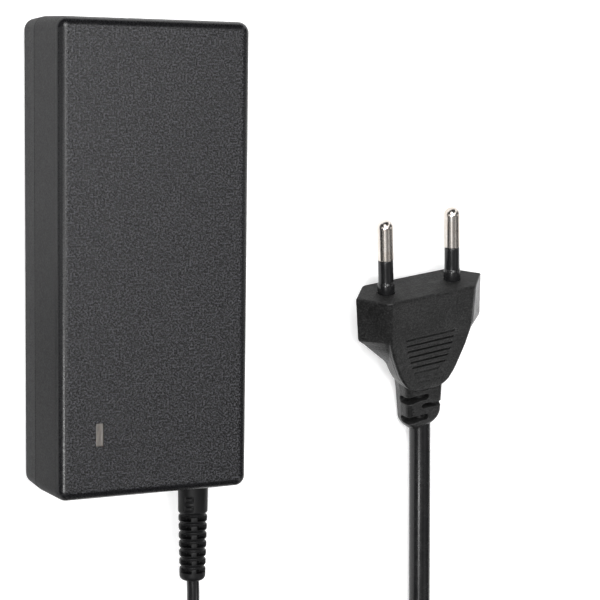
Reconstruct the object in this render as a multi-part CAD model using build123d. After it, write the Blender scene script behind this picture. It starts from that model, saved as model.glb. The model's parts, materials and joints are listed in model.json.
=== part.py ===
from build123d import *
import math
import os

# Laptop power adapter: brick with a captive DC cord, and its detachable mains lead (Europlug to C7 connector).
# Millimetres. Origin: centre of the brick's underside. +Z up out of the large front face, the brick's long axis
# along Y with the mains inlet at +Y and the DC cord at -Y. Everything lies on the plane z = 0.

os.makedirs("parts", exist_ok=True)

# ---------------------------------------------------------------- driving dimensions
CASE_W = 46.4            # case width at the parting plane
CASE_L = 106.8           # case length at the parting plane
CASE_T = 24.8            # case thickness
PART_Z = 9.9             # height of the parting plane above the underside
WALL = 2.1               # case wall
DRAFT = 2.0              # mould draft of both half shells, degrees
CORNER_R = 2.9           # corner radius in plan at the parting plane
EDGE_R = 2.3             # rounding of the long edges
LIP_H = 1.4              # height of the tongue that locates the shells
LIP_T = 1.0              # its thickness

PIPE_X, PIPE_Y = -13.15, -38.4     # light pipe centre on the front face
PIPE_W, PIPE_L = 1.85, 5.25         # its visible size

INLET_Z = 12.4           # inlet centre height
INLET_PITCH = 8.6        # spacing of the two inlet pins
INLET_PIN_R = 1.18
INLET_ROOT_R = 1.0       # the pin is thinner where the housing holds it

BOARD_Z = 6.0            # underside of the circuit board
BOARD_T = 1.6

DC_X, DC_Z = 15.45, 9.9  # strain relief axis at the -Y end
DC_D = 3.0               # DC cord diameter
SLEEVE_R = 3.5           # plain sleeve radius
TIP_R = 3.05             # last rib radius
SLEEVE_END = -61.65      # where the plain sleeve ends
RELIEF_END = -77.9       # where the cord leaves the ribbed part
RIBS = 7

MAINS_D = 5.5            # mains cord diameter
PLUG_ORIGIN = (75.79, -9.92)      # centre of the plug's pin face, seen from above
PLUG_YAW = 8.48          # plug axis turned anticlockwise from +Y, degrees
PLUG_PITCH = 11.0        # pins up: the stiff lead holds the plug just off the surface, degrees
PLUG_TAPER = 5.5         # taper of the plug's front and back towards the cord, degrees
PLUG_Z = 10.43           # height of the pin face's centre
PLUG_HALF_T = 6.85       # half thickness of the pin face
PLUG_PIN_PITCH = 19.0
PLUG_PIN_R = 2.0
PLUG_PIN_LEN = 19.0
PLUG_SLEEVE_R = 1.78     # insulated part of the pin
PLUG_SLEEVE_LEN = 8.9
PLUG_LEN = 37.0          # pin face to cord exit


def save(shape, name):
    shape.label = name
    export_step(shape, "parts/" + name + ".step")


def box(x0, x1, y0, y1, z0, z1):
    return Pos((x0 + x1) / 2, (y0 + y1) / 2, (z0 + z1) / 2) * Box(x1 - x0, y1 - y0, z1 - z0)


def cyl_z(x, y, z0, z1, r):
    return Pos(x, y, (z0 + z1) / 2) * Cylinder(r, z1 - z0)


def cyl_y(x, z, y0, y1, r):
    return Pos(x, (y0 + y1) / 2, z) * Rot(90, 0, 0) * Cylinder(r, y1 - y0)


def cyl_x(y, z, x0, x1, r):
    return Pos((x0 + x1) / 2, y, z) * Rot(0, 90, 0) * Cylinder(r, x1 - x0)


def group(*solids):
    out = []
    for s in solids:
        out += list(s.solids())
    return out[0] if len(out) == 1 else Compound(children=out)


def one(shape):
    s = list(shape.solids())
    return s[0] if len(s) == 1 else Compound(children=s)


# ---------------------------------------------------------------- case shells
def plan(inset, r):
    return RectangleRounded(CASE_W - 2 * inset, CASE_L - 2 * inset, r)


def half(inset, r, z0, height, up):
    sk = Pos(0, 0, z0) * plan(inset, r)
    return extrude(sk, amount=height, dir=(0, 0, 1 if up else -1), taper=DRAFT)


def edge_ring(solid, z):
    return solid.edges().filter_by_position(Axis.Z, z - 0.001, z + 0.001)


top_outer = half(0, CORNER_R, PART_Z, CASE_T - PART_Z, True)
top_outer = fillet(edge_ring(top_outer, CASE_T), EDGE_R)
bot_outer = half(0, CORNER_R, PART_Z, PART_Z, False)
bot_outer = fillet(edge_ring(bot_outer, 0), EDGE_R)
PARTING_BREAK = 0.12
top_outer = chamfer(edge_ring(top_outer, PART_Z), PARTING_BREAK)
bot_outer = chamfer(edge_ring(bot_outer, PART_Z), PARTING_BREAK)

top_inner = half(WALL, 1.0, PART_Z, CASE_T - PART_Z - WALL, True)
bot_inner = half(WALL, 1.0, PART_Z, PART_Z - WALL, False)

top_shell = top_outer - top_inner
bottom_shell = bot_outer - bot_inner
tongue = Pos(0, 0, PART_Z) * (plan(WALL - LIP_T, 2.0) - plan(WALL, 1.0))
tongue = extrude(tongue, amount=LIP_H)
rebate = Pos(0, 0, PART_Z) * (plan(WALL - LIP_T - 0.05, 2.05) - plan(WALL + 0.5, 0.6))
rebate = extrude(rebate, amount=LIP_H + 0.1)
bottom_shell = bottom_shell + tongue
top_shell = top_shell - rebate

# board posts standing on the floor of the bottom shell
POSTS = [(-17.6, 31.0), (17.6, 31.0), (-17.6, -43.4), (5.6, -43.4)]
for px, py in POSTS:
    bottom_shell = bottom_shell + cyl_z(px, py, WALL - 0.3, BOARD_Z, 2.0)

# inlet opening, strain relief hole and light pipe slot
INLET_W, INLET_H = 19.4, 11.6
inlet_cut = box(-INLET_W / 2, INLET_W / 2, 46, 57, INLET_Z - INLET_H / 2, INLET_Z + INLET_H / 2)
NECK_R = 3.1
neck_hole = cyl_y(DC_X, DC_Z, -57, -46, NECK_R)
pipe_slot = box(PIPE_X - PIPE_W / 2, PIPE_X + PIPE_W / 2, PIPE_Y - PIPE_L / 2, PIPE_Y + PIPE_L / 2, 20, 30)
top_shell = top_shell - inlet_cut - neck_hole - pipe_slot
bottom_shell = bottom_shell - inlet_cut - neck_hole
save(one(top_shell), "top_shell")
save(one(bottom_shell), "bottom_shell")

# ---------------------------------------------------------------- light pipe and status LED
pipe_head = box(PIPE_X - PIPE_W / 2, PIPE_X + PIPE_W / 2, PIPE_Y - PIPE_L / 2, PIPE_Y + PIPE_L / 2, 21.9, CASE_T - 0.08)
pipe_flange = box(PIPE_X - 2.1, PIPE_X + 2.1, PIPE_Y - 3.8, PIPE_Y + 3.8, 21.3, CASE_T - WALL)
pipe_stem = box(PIPE_X - 0.9, PIPE_X + 0.9, PIPE_Y - 1.9, PIPE_Y + 1.9, 10.4, 21.5)
light_pipe = pipe_head + pipe_flange + pipe_stem
save(one(light_pipe), "light_pipe")
led = box(PIPE_X - 1.0, PIPE_X + 1.0, PIPE_Y - 1.6, PIPE_Y + 1.6, BOARD_Z + BOARD_T, 9.2) + cyl_z(PIPE_X, PIPE_Y, 9.1, 10.2, 0.9)
save(one(led), "status_led")

# ---------------------------------------------------------------- mains inlet (two pins in a figure-eight well)
INLET_FACE = 52.95
INLET_BACK = 37.0
WELL_FLOOR = 40.0
PIN_TIP = 51.0
housing = box(-INLET_W / 2, INLET_W / 2, INLET_BACK, INLET_FACE, INLET_Z - INLET_H / 2, INLET_Z + INLET_H / 2)
housing = fillet(housing.edges().filter_by(Axis.Y), 0.8)
housing = housing + box(-10.9, 10.9, 48.7, 50.5, INLET_Z - 6.9, INLET_Z + 6.9)
well = cyl_y(-3.6, INLET_Z, WELL_FLOOR, 56, 4.1) + cyl_y(3.6, INLET_Z, WELL_FLOOR, 56, 4.1) \
    + box(-3.6, 3.6, WELL_FLOOR, 56, INLET_Z - 3.2, INLET_Z + 3.2)
pin_xs = (-INLET_PITCH / 2, INLET_PITCH / 2)
inlet_pins = []
for x in pin_xs:
    p = cyl_y(x, INLET_Z, WELL_FLOOR + 0.3, PIN_TIP, INLET_PIN_R)
    p = fillet(p.edges().filter_by_position(Axis.Y, PIN_TIP - 0.1, PIN_TIP + 0.1), 0.8)
    p = p + cyl_y(x, INLET_Z, 35.0, WELL_FLOOR + 0.4, INLET_ROOT_R)
    inlet_pins.append(p)
housing = housing - well
for x in pin_xs:
    housing = housing - cyl_y(x, INLET_Z, 36, 41, INLET_ROOT_R)
save(one(housing), "inlet_housing")
save(group(*inlet_pins), "inlet_pins")

# ---------------------------------------------------------------- circuit board and what stands on it
BZ = BOARD_Z + BOARD_T
board = box(-20.2, 20.2, -48.4, 34.6, BOARD_Z, BZ)
save(one(board), "circuit_board")
save(one(box(-14.6, 3.0, -47.4, 34.0, 2.6, 3.0)), "insulation_sheet")

fuse = cyl_y(-14.2, BZ + 2.3, 20.4, 29.4, 2.2) + cyl_y(-14.2, BZ + 2.3, 19.6, 22.0, 2.3) + cyl_y(-14.2, BZ + 2.3, 27.8, 30.2, 2.3)
save(one(fuse), "fuse")
save(one(fillet(cyl_y(-4.0, BZ + 5.2, 26.6, 29.8, 4.9).edges(), 0.8)), "varistor")
save(one(fillet(box(2.0, 18.6, 23.2, 29.0, BZ, BZ + 12.2).edges().filter_by(Axis.Z), 0.8)), "x_capacitor")

CHX, CHY, CHZ = -10.0, 13.6, BZ + 7.2
core = cyl_y(CHX, CHZ, CHY - 2.7, CHY + 2.7, 5.5) - cyl_y(CHX, CHZ, CHY - 4, CHY + 4, 3.0)
save(one(core), "choke_core")
slot_gap = box(CHX - 1.2, CHX + 1.2, CHY - 6, CHY + 6, CHZ - 9, CHZ + 9)
winding = (cyl_y(CHX, CHZ, CHY - 4.0, CHY + 4.0, 6.8) - cyl_y(CHX, CHZ, CHY - 5, CHY + 5, 1.8)
           - (cyl_y(CHX, CHZ, CHY - 2.7, CHY + 2.7, 5.5) - cyl_y(CHX, CHZ, CHY - 2.7, CHY + 2.7, 3.0)) - slot_gap)
save(group(winding), "choke_windings")

save(one(box(4.0, 18.0, 14.2, 17.6, BZ, BZ + 10.6)), "bridge_rectifier")
cap = cyl_y(-12.2, BZ + 7.5, -19.0, 8.4, 7.4)
cap = fillet(cap.edges(), 0.9)
save(one(cap), "bulk_capacitor")

HS1_X0 = 18.7
save(one(box(HS1_X0, 20.1, -22.0, 11.0, BZ, BZ + 13.0)), "primary_heatsink")
save(one(box(14.2, HS1_X0, -1.0, 9.0, BZ + 1.0, BZ + 12.4)), "switching_transistor")

TX0, TX1, TY0, TY1 = -2.0, 17.4, -24.4, -3.4
core_t = box(TX0, TX1, TY0 + 4.5, TY1 - 4.5, BZ, BZ + 14.4)
window = box(TX0 + 3.1, TX1 - 3.1, TY0, TY1, BZ + 2.8, BZ + 11.6)
leg = box(5.3, 10.1, TY0 + 4.5, TY1 - 4.5, BZ + 2.7, BZ + 11.7)
core_t = core_t - window + leg
save(one(core_t), "transformer_core")
bobbin = box(TX0 + 3.2, TX1 - 3.2, TY0, TY1, BZ + 2.9, BZ + 11.5)
bobbin = fillet(bobbin.edges().filter_by(Axis.Z), 2.0)
bobbin = bobbin - box(5.2, 10.2, TY0 + 4.4, TY1 - 4.4, BZ, BZ + 16)
save(one(bobbin), "transformer_winding")

save(one(fillet(cyl_y(-7.0, BZ + 4.4, -25.0, -21.8, 4.0).edges(), 0.7)), "y_capacitor")
save(one(box(-18.4, -12.0, -25.4, -20.8, BZ, BZ + 3.6)), "optocoupler")
save(one(box(-20.1, -18.7, -46.0, -27.0, BZ, BZ + 12.4)), "secondary_heatsink")
save(one(box(-18.7, -14.2, -36.0, -27.2, BZ + 1.0, BZ + 11.8)), "output_rectifier")
caps = []
for cx, cy in ((-6.6, -32.0), (-2.0, -41.2)):
    caps.append(fillet(cyl_z(cx, cy, BZ, BZ + 13.4, 4.0).edges(), 0.6))
save(group(*caps), "output_capacitors")
choke2 = cyl_z(9.6, -32.6, BZ, BZ + 1.4, 5.0) + cyl_z(9.6, -32.6, BZ, BZ + 10.6, 4.2) + cyl_z(9.6, -32.6, BZ + 9.6, BZ + 11.0, 5.0)
save(one(choke2), "output_choke")


# wires inside the case: short stubs with one bend each
def wire(points, r, bend):
    path = FilletPolyline(*points, radius=bend)
    start = path.position_at(0)
    d = path.tangent_at(0)
    return sweep(Plane(origin=start, z_dir=d) * Circle(r), path=path)


ac_wires = [wire([(x, 35.0, INLET_Z), (x, 32.4, INLET_Z), (x, 32.4, BZ)], 0.7, 1.3) for x in pin_xs]
save(group(*ac_wires), "ac_input_wires")
dc_wires = [wire([(DC_X + s * 1.3, -48.6, DC_Z), (DC_X + s * 1.3, -46.4, DC_Z), (DC_X + s * 1.3, -46.4, BZ)], 0.6, 1.1) for s in (-1, 1)]
save(group(*dc_wires), "dc_output_wires")

# ---------------------------------------------------------------- DC strain relief
# Plain sleeve, then seven soft ribs with windows that leave a front, a back and two side spines.
RIB_PITCH = (SLEEVE_END - RELIEF_END - 1.5) / RIBS
NECK_DEPTH = 0.46


def relief_radius(y):
    t = (SLEEVE_END - y) / (SLEEVE_END - RELIEF_END)
    return SLEEVE_R - 0.08 - (SLEEVE_R - 0.08 - TIP_R) * t


pts = [(0, -53.75), (SLEEVE_R + 0.1, -53.75), (SLEEVE_R, SLEEVE_END + 0.55), (SLEEVE_R - 0.32, SLEEVE_END)]
y = SLEEVE_END
for i in range(RIBS):
    r = relief_radius(y - RIB_PITCH / 2)
    pts += [(r - NECK_DEPTH, y - 0.2), (r - 0.1, y - 0.64), (r, y - 0.96),
            (r, y - RIB_PITCH + 0.74), (r - 0.1, y - RIB_PITCH + 0.46)]
    y -= RIB_PITCH
pts += [(TIP_R - 0.35, y - 0.1), (TIP_R - 0.75, y - 0.75), (DC_D / 2 + 0.35, RELIEF_END), (0, RELIEF_END)]
prof = make_face(Polyline(*[(r, yy, 0) for r, yy in pts], close=True))
relief = revolve(prof, axis=Axis.Y)
SPINE_ROLL = -16.0       # the front spine sits a little towards -X
windows = []
for i in range(RIBS):
    yc = SLEEVE_END - RIB_PITCH * (i + 0.5) + 0.11
    r = relief_radius(yc)
    ring = Pos(0, yc, 0) * Rot(90, 0, 0) * (Cylinder(r + 1.0, 0.97) - Cylinder(r - 1.25, 2.0))
    for a0 in (10, 120 - 0, 190, 300):
        # each window spans 50 degrees, measured from the front (+Z) round the axis
        wedge_pts = [(0, 0)] + [(8 * math.sin(math.radians(a)), 8 * math.cos(math.radians(a))) for a in (a0, a0 + 25, a0 + 50)]
        wedge = extrude(make_face(Polyline(*[(p[0], yc, p[1]) for p in wedge_pts], close=True)), amount=1.2, dir=(0, 1, 0), both=True)
        windows.append(ring & wedge)
for w in windows:
    relief = relief - w
# two small bare pads on the sleeve
for yc in (-57.9, -60.1):
    pad = Pos(0, yc, SLEEVE_R - 0.11) * Box(1.55, 1.0, 0.46)
    relief = relief + Rot(0, -22, 0) * pad
relief = Rot(0, SPINE_ROLL, 0) * relief
relief = Pos(DC_X, 0, DC_Z) * relief
neck = cyl_y(DC_X, DC_Z, -53.95, -50.6, NECK_R)
flange = cyl_y(DC_X, DC_Z, -50.8, -48.6, 4.8)
relief = relief + neck + flange
save(one(relief), "dc_strain_relief")


# ---------------------------------------------------------------- cords
def cord_radii(points):
    """Arc radius at each corner: 0.45 of the shorter run over the tangent of half the turn."""
    out = []
    for a, b, c in zip(points, points[1:], points[2:]):
        v1, v2 = Vector(*b) - Vector(*a), Vector(*c) - Vector(*b)
        turn = v1.get_angle(v2)
        out.append(0.45 * min(v1.length, v2.length) / math.tan(math.radians(turn / 2)))
    return out


def cord(points, d, label):
    radii = cord_radii(points)
    print(label, "arc radii:", [round(r, 1) for r in radii], "in diameters:", [round(r / d, 1) for r in radii])
    path = FilletPolyline(*points, radius=radii)
    tube = sweep(Plane(origin=path.position_at(0), z_dir=path.tangent_at(0)) * Circle(d / 2), path=path)
    solid = one(tube)
    print(label, "length %.1f volume %.1f section x length %.1f" % (path.length, solid.volume, path.length * math.pi * d * d / 4))
    return solid


def coil_solid(cx, cy, r_in, r_out, height, rnd):
    sk = make_face(Polyline((r_in, 0, 0), (r_out, 0, 0), (r_out, 0, height), (r_in, 0, height), close=True))
    ring = revolve(sk, axis=Axis.Z)
    ring = fillet(ring.edges(), rnd)
    return Pos(cx, cy, 0) * ring


# DC cord: out of the relief, down to the table, into its coil
DC_COIL = (-18.4, -111.5)
DC_R_OUT, DC_R_IN = 26.35, 9.7
DC_ROUTE = [
    (15.55, -77.5, 9.90),
    (16.05, -85.1, 9.70),
    (15.90, -91.1, 7.00),
    (14.35, -97.1, 3.35),
    (11.60, -103.0, 1.52),
    (8.20, -109.0, 1.50),
]
dc_cord = cord(DC_ROUTE, DC_D, "dc_cord")
save(dc_cord, "dc_cord")

# the coil rests on its strap, which passes under it in a shallow groove
def strap_parts(cx, cy, r0, r1, height, width, t, ang):
    """Flat hook-and-loop strap round the coil's section at angle ang; returns (strap, groove in the coil)."""
    mid, w, h = (r0 + r1) / 2, r1 - r0, height + 2 * t
    ring = RectangleRounded(w + 2 * t, h, 1.6) - RectangleRounded(w, h - 2 * t, 0.25)
    band = extrude(Plane.XZ * ring, amount=width / 2, both=True)
    tab = Pos(w / 2 - 6.0, 0, h / 2 + t / 2) * Box(9.0, width, t)
    tab = fillet(tab.edges().filter_by(Axis.Z), 1.8)
    under = Pos(0, 0, -h / 2) * Box(w + 2 * t + 2, width + 0.4, 2 * t)
    place = Pos(cx, cy, 0) * Rot(0, 0, ang) * Pos(mid, 0, h / 2)
    return place * (band + tab), place * under


dc_coil = coil_solid(DC_COIL[0], DC_COIL[1], DC_R_IN, DC_R_OUT, 2 * DC_D, 1.5)
dc_strap, dc_groove = strap_parts(DC_COIL[0], DC_COIL[1], DC_R_IN - 1.2, DC_R_OUT + 0.25, 2 * DC_D, 8.0, 0.9, -100)
save(one(dc_coil - dc_groove), "dc_cord_coil")
save(one(dc_strap), "dc_cord_strap")

# end stretch: off the coil's left side, through the ferrite core, to the plug
DC_END = [
    (-43.00, -111.5, 4.50),
    (-44.00, -101.0, 3.00),
    (-44.60, -90.0, 2.60),
    (-44.80, -78.5, 6.00),
    (-44.80, -53.0, 6.00),
    (-44.50, -41.2, 4.90),
]
save(cord(DC_END, DC_D, "dc_cord_end"), "dc_cord_end")

FER_R = 6.0
ferrite = cyl_y(-44.8, 6.0, -75.5, -56.5, FER_R)
ferrite = fillet(ferrite.edges(), 1.6) - cyl_y(-44.8, 6.0, -77, -55, DC_D / 2 + 0.1)
save(one(ferrite), "ferrite_core")

# ---------------------------------------------------------------- DC plug (5.5 x 2.5 mm barrel)
PX, PZ = -44.5, 4.9
PLUG_TAIL = -44.0        # where the cord enters the grip
GRIP_FACE = PLUG_TAIL + 33.0
BARREL_END = GRIP_FACE + 10.0
GRIP_R = 4.85
grip_profile = [(0, 0), (2.2, 0), (2.45, 0.4), (2.95, 9.4), (3.6, 10.4), (GRIP_R, 12.4), (GRIP_R, 31.0),
                (GRIP_R - 0.5, 32.4), (GRIP_R - 1.2, 33.0), (0, 33.0)]
grip = revolve(make_face(Polyline(*[(r, PLUG_TAIL + yy, 0) for r, yy in grip_profile], close=True)), axis=Axis.Y)
for i in range(6):
    yc = PLUG_TAIL + 15.0 + i * 2.4
    grip = grip - (Pos(0, yc, 0) * Rot(90, 0, 0) * (Cylinder(6.5, 0.8) - Cylinder(GRIP_R - 0.35, 1.0)))
BARREL_ROOT_R = 2.4      # the barrel is thinner where the grip holds it
grip = Pos(PX, 0, PZ) * grip - cyl_y(PX, PZ, GRIP_FACE - 2.0, GRIP_FACE + 1.0, BARREL_ROOT_R)
save(one(grip), "dc_plug_grip")
barrel = cyl_y(PX, PZ, GRIP_FACE + 0.3, BARREL_END, 2.75)
barrel = chamfer(barrel.edges().filter_by_position(Axis.Y, BARREL_END - 0.01, BARREL_END + 0.01), 0.3)
barrel = barrel + cyl_y(PX, PZ, GRIP_FACE - 2.0, GRIP_FACE + 0.4, BARREL_ROOT_R)
barrel = barrel - cyl_y(PX, PZ, GRIP_FACE + 0.4, BARREL_END + 1.0, 2.25) - cyl_y(PX, PZ, GRIP_FACE - 3.0, GRIP_FACE + 0.5, 1.9)
save(one(barrel), "dc_plug_barrel")
insul = cyl_y(PX, PZ, GRIP_FACE + 0.4, BARREL_END - 0.4, 2.25) + cyl_y(PX, PZ, GRIP_FACE - 2.0, GRIP_FACE + 0.5, 1.9)
insul = insul - cyl_y(PX, PZ, GRIP_FACE - 1.0, BARREL_END + 1.0, 1.5)
save(one(insul), "dc_plug_insulator")
contact = cyl_y(PX, PZ, GRIP_FACE - 1.0, BARREL_END - 1.0, 1.5) - cyl_y(PX, PZ, GRIP_FACE - 0.6, BARREL_END, 1.27)
save(one(contact), "dc_plug_contact")

# ---------------------------------------------------------------- mains cord, coil and strap
M_COIL = (44.2, -140.0)
M_R_OUT, M_R_IN = 41.3, 20.7
MAINS_ROUTE = [
    (81.05, -45.35, 3.45),
    (81.72, -54.0, 2.81),
    (82.03, -70.0, 2.76),
    (82.40, -92.0, 2.76),
    (82.68, -115.0, 2.765),
    (82.74, -136.0, 2.77),
]
save(cord(MAINS_ROUTE, MAINS_D, "mains_cord"), "mains_cord")
m_coil = coil_solid(M_COIL[0], M_COIL[1], M_R_IN, M_R_OUT, 2 * MAINS_D, 2.6)
m_strap, m_groove = strap_parts(M_COIL[0], M_COIL[1], M_R_IN - 1.2, M_R_OUT + 0.3, 2 * MAINS_D, 12.0, 1.0, -42)
save(one(m_coil - m_groove), "mains_cord_coil")
save(one(m_strap), "mains_cord_strap")
MAINS_END = [
    (43.50, -176.9, 8.27),
    (32.00, -179.2, 8.10),
    (20.50, -181.0, 6.40),
    (7.50, -181.4, 5.20),
]
save(cord(MAINS_END, MAINS_D, "mains_cord_end"), "mains_cord_end")

# ---------------------------------------------------------------- C7 connector at the lead's far end
# Built along +Y with the mating face at y = 0, then turned to point along -X.
C7_W, C7_T = 17.4, 10.4
body = extrude(Plane(origin=(0, -12.5, 0), x_dir=(1, 0, 0), z_dir=(0, -1, 0)) * RectangleRounded(C7_W, C7_T, 2.6), amount=18.0, taper=2.0)
body = fillet(body.edges().filter_by_position(Axis.Y, -30.6, -30.4), 1.2)
body = fillet(body.edges().filter_by_position(Axis.Y, -12.6, -12.4), 0.6)
nose = cyl_y(-3.6, 0, -12.6, 0, 3.8) + cyl_y(3.6, 0, -12.6, 0, 3.8) + box(-3.6, 3.6, -12.6, 0, -2.9, 2.9)
nose = chamfer(nose.edges().filter_by_position(Axis.Y, -0.01, 0.01), 0.5)
taper_pts = [(0, -30.0), (4.7, -30.0), (4.5, -33.0)]
for i in range(5):
    yy = -34.2 - i * 3.0
    r = 4.45 - 0.16 * i
    taper_pts += [(r, yy + 1.0), (r - 0.7, yy + 0.7), (r - 0.72, yy - 0.2), (r - 0.05, yy - 0.5)]
taper_pts += [(3.6, -48.6), (3.3, -50.5), (0, -50.5)]
c7_relief = revolve(make_face(Polyline(*[(r, yy, 0) for r, yy in taper_pts], close=True)), axis=Axis.Y)
c7 = body + nose + c7_relief
for s in (-1, 1):
    c7 = c7 - cyl_y(s * INLET_PITCH / 2, 0, -11.5, 1, 1.5)
    grip_cut = Pos(s * (C7_W / 2 + 18.0 - 0.9), -20.5, 0) * Cylinder(18.0, 30)
    c7 = c7 - grip_cut
c7_place = Pos(-41.0, -181.4, C7_T / 2) * Rot(0, 0, 90)
save(one(c7_place * c7), "c7_connector_body")
tubes = [cyl_y(s * INLET_PITCH / 2, 0, -11.5, -1.0, 1.5) - cyl_y(s * INLET_PITCH / 2, 0, -10.9, 0, 1.22) for s in (-1, 1)]
save(group(*[c7_place * t for t in tubes]), "c7_contacts")

# ---------------------------------------------------------------- Europlug
# Local frame: X across the pins, Y along them (pins towards +Y, pin face at y = 0), Z out of the front face.
TAN = math.tan(math.radians(PLUG_TAPER))


def hexa(h, a, b, t, r):
    """Six-sided section: half width a at mid thickness, b at the flat faces, half thickness t."""
    sk = make_face(Polyline((a, 0, 0), (b, t, 0), (-b, t, 0), (-a, 0, 0), (-b, -t, 0), (b, -t, 0), close=True))
    sk = fillet(sk.vertices(), r)
    return Plane(origin=(0, h, 0), x_dir=(1, 0, 0), z_dir=(0, -1, 0)) * sk


def face_v(h):
    """Half thickness of the tapering front and back faces at height h (negative towards the cord)."""
    return PLUG_HALF_T + h * TAN


block = loft([hexa(0, 17.65, 12.3, face_v(0), 1.1), hexa(-10.2, 17.1, 11.8, face_v(-10.2), 1.1)], ruled=True)
block = fillet(block.edges().filter_by_position(Axis.Y, -0.01, 0.01), 0.45)
flank = loft([hexa(-10.19, 17.1, 11.8, face_v(-10.2), 1.1), hexa(-12.6, 12.9, 9.8, face_v(-12.6) - 0.25, 1.1),
              hexa(-15.6, 8.9, 7.2, face_v(-15.6) - 0.5, 1.2), hexa(-19.0, 6.2, 5.0, face_v(-19.0) - 0.75, 1.3),
              hexa(-23.0, 4.9, 4.1, 3.75, 1.3), hexa(-26.2, 4.72, 3.95, 3.55, 1.3)])
plug_relief = loft([hexa(-26.2, 4.72, 3.95, 3.55, 1.3), hexa(-PLUG_LEN + 0.9, 4.5, 3.75, 3.3, 1.3), hexa(-PLUG_LEN, 3.9, 3.2, 2.9, 1.2)], ruled=True)

SHIELD = [(0.0, 12.1), (-6.0, 11.9), (-11.0, 11.5), (-15.5, 10.4), (-19.5, 8.8), (-23.0, 6.9), (-24.7, 5.5), (-25.7, 3.8)]
right_side = [(w, h, 0) for h, w in SHIELD]
left_side = [(-w, h, 0) for h, w in reversed(SHIELD)]
outline = Spline(*[Vector(*p) for p in right_side[2:]])
shield_edges = [Line(left_side[-1], right_side[0]), Line(right_side[0], right_side[2]), outline,
                Spline(Vector(*right_side[-1]), Vector(0, -26.1, 0), Vector(*left_side[0]), tangents=[(-0.9, -0.45, 0), (-0.9, 0.45, 0)]),
                Spline(*[Vector(*p) for p in left_side[:-2]]), Line(left_side[-3], left_side[-1])]
shield = make_face(shield_edges)
plate = extrude(shield, amount=8.0)
over = Pos(0, 0, PLUG_HALF_T) * Rot(PLUG_TAPER, 0, 0) * Pos(0, 0, 10) * Box(80, 120, 20)
plate = plate - over
body = block + flank + plug_relief + plate

# grip grooves across the plate
GROOVES = [6.8, 6.6, 6.3, 5.8, 5.3, 4.6, 3.4]
on_face = Pos(0, 0, PLUG_HALF_T) * Rot(PLUG_TAPER, 0, 0)
for i, half_len in enumerate(GROOVES):
    body = body - on_face * Pos(0, (-11.2 - 1.43 * i), 0) * Box(2 * half_len, 0.62, 1.0 if i < 6 else 0.6)


# windows in the plug's own strain relief: two round the front-left corner, one round the front-right
def corner_window(h, height, side):
    front = extrude(Plane(origin=(0, 0, 2.55), x_dir=(1, 0, 0), z_dir=(0, 0, 1)) *
                    Pos(side * 2.9, h) * RectangleRounded(8.0, height, height / 2 - 0.05), amount=3)
    flank_cut = extrude(Plane(origin=(side * 3.45, 0, 0), x_dir=(0, 1, 0), z_dir=(1, 0, 0)) *
                        Pos(h, 1.6) * RectangleRounded(height, 4.6, height / 2 - 0.05), amount=side * 3)
    return front + flank_cut


for h, height, side in ((-28.4, 1.7, -1), (-31.3, 1.5, 1), (-34.0, 1.7, -1)):
    body = body - corner_window(h, height, side)
    body = body - Rot(0, 180, 0) * corner_window(h, height, side)

pins, sleeves = [], []
for s in (-1, 1):
    x = s * PLUG_PIN_PITCH / 2
    metal = cyl_y(x, 0, PLUG_SLEEVE_LEN, PLUG_PIN_LEN, PLUG_PIN_R)
    metal = fillet(metal.edges().filter_by_position(Axis.Y, PLUG_PIN_LEN - 0.01, PLUG_PIN_LEN + 0.01), 1.9)
    metal = fillet(metal.edges().filter_by_position(Axis.Y, PLUG_SLEEVE_LEN - 0.01, PLUG_SLEEVE_LEN + 0.01), 0.15)
    metal = metal + cyl_y(x, 0, -6.0, PLUG_SLEEVE_LEN + 0.2, 1.2)
    pins.append(metal)
    sl = cyl_y(x, 0, -3.0, PLUG_SLEEVE_LEN, PLUG_SLEEVE_R) + cyl_y(x, 0, -3.0, 2.4, 2.1)
    sl = sl - cyl_y(x, 0, -4.0, 12.0, 1.2)
    sleeves.append(sl)
    body = body - cyl_y(x, 0, -3.0, 1.0, 2.1) - cyl_y(x, 0, -6.0, 0.0, 1.2)

plug_place = Pos(PLUG_ORIGIN[0], PLUG_ORIGIN[1], PLUG_Z) * Rot(0, 0, PLUG_YAW) * Rot(PLUG_PITCH, 0, 0)
save(one(plug_place * body), "mains_plug_body")
save(group(*[plug_place * p for p in pins]), "mains_plug_pins")
save(group(*[plug_place * p for p in sleeves]), "mains_pin_sleeves")
print("plug tail", (plug_place * Pos(0, -PLUG_LEN, 0)).position, "pin tips",
      [(plug_place * Pos(s * PLUG_PIN_PITCH / 2, PLUG_PIN_LEN, 0)).position for s in (-1, 1)])
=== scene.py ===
import bpy
import json
import math
import numpy as np
from mathutils import Matrix, Vector


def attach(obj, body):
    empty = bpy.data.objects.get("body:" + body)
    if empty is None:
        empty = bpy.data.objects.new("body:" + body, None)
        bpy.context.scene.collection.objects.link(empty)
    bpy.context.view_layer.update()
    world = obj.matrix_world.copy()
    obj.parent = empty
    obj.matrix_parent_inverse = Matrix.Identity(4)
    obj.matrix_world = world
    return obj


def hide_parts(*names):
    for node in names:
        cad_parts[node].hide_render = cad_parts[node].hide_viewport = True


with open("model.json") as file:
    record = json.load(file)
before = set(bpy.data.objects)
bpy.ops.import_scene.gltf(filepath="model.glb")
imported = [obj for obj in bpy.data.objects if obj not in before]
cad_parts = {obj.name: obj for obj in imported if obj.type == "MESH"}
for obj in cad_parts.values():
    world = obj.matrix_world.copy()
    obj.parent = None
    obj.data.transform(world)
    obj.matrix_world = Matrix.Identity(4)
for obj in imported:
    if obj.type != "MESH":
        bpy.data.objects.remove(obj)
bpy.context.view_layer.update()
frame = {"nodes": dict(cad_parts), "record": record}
NODES = frame["nodes"]
MM = 0.001


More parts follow.
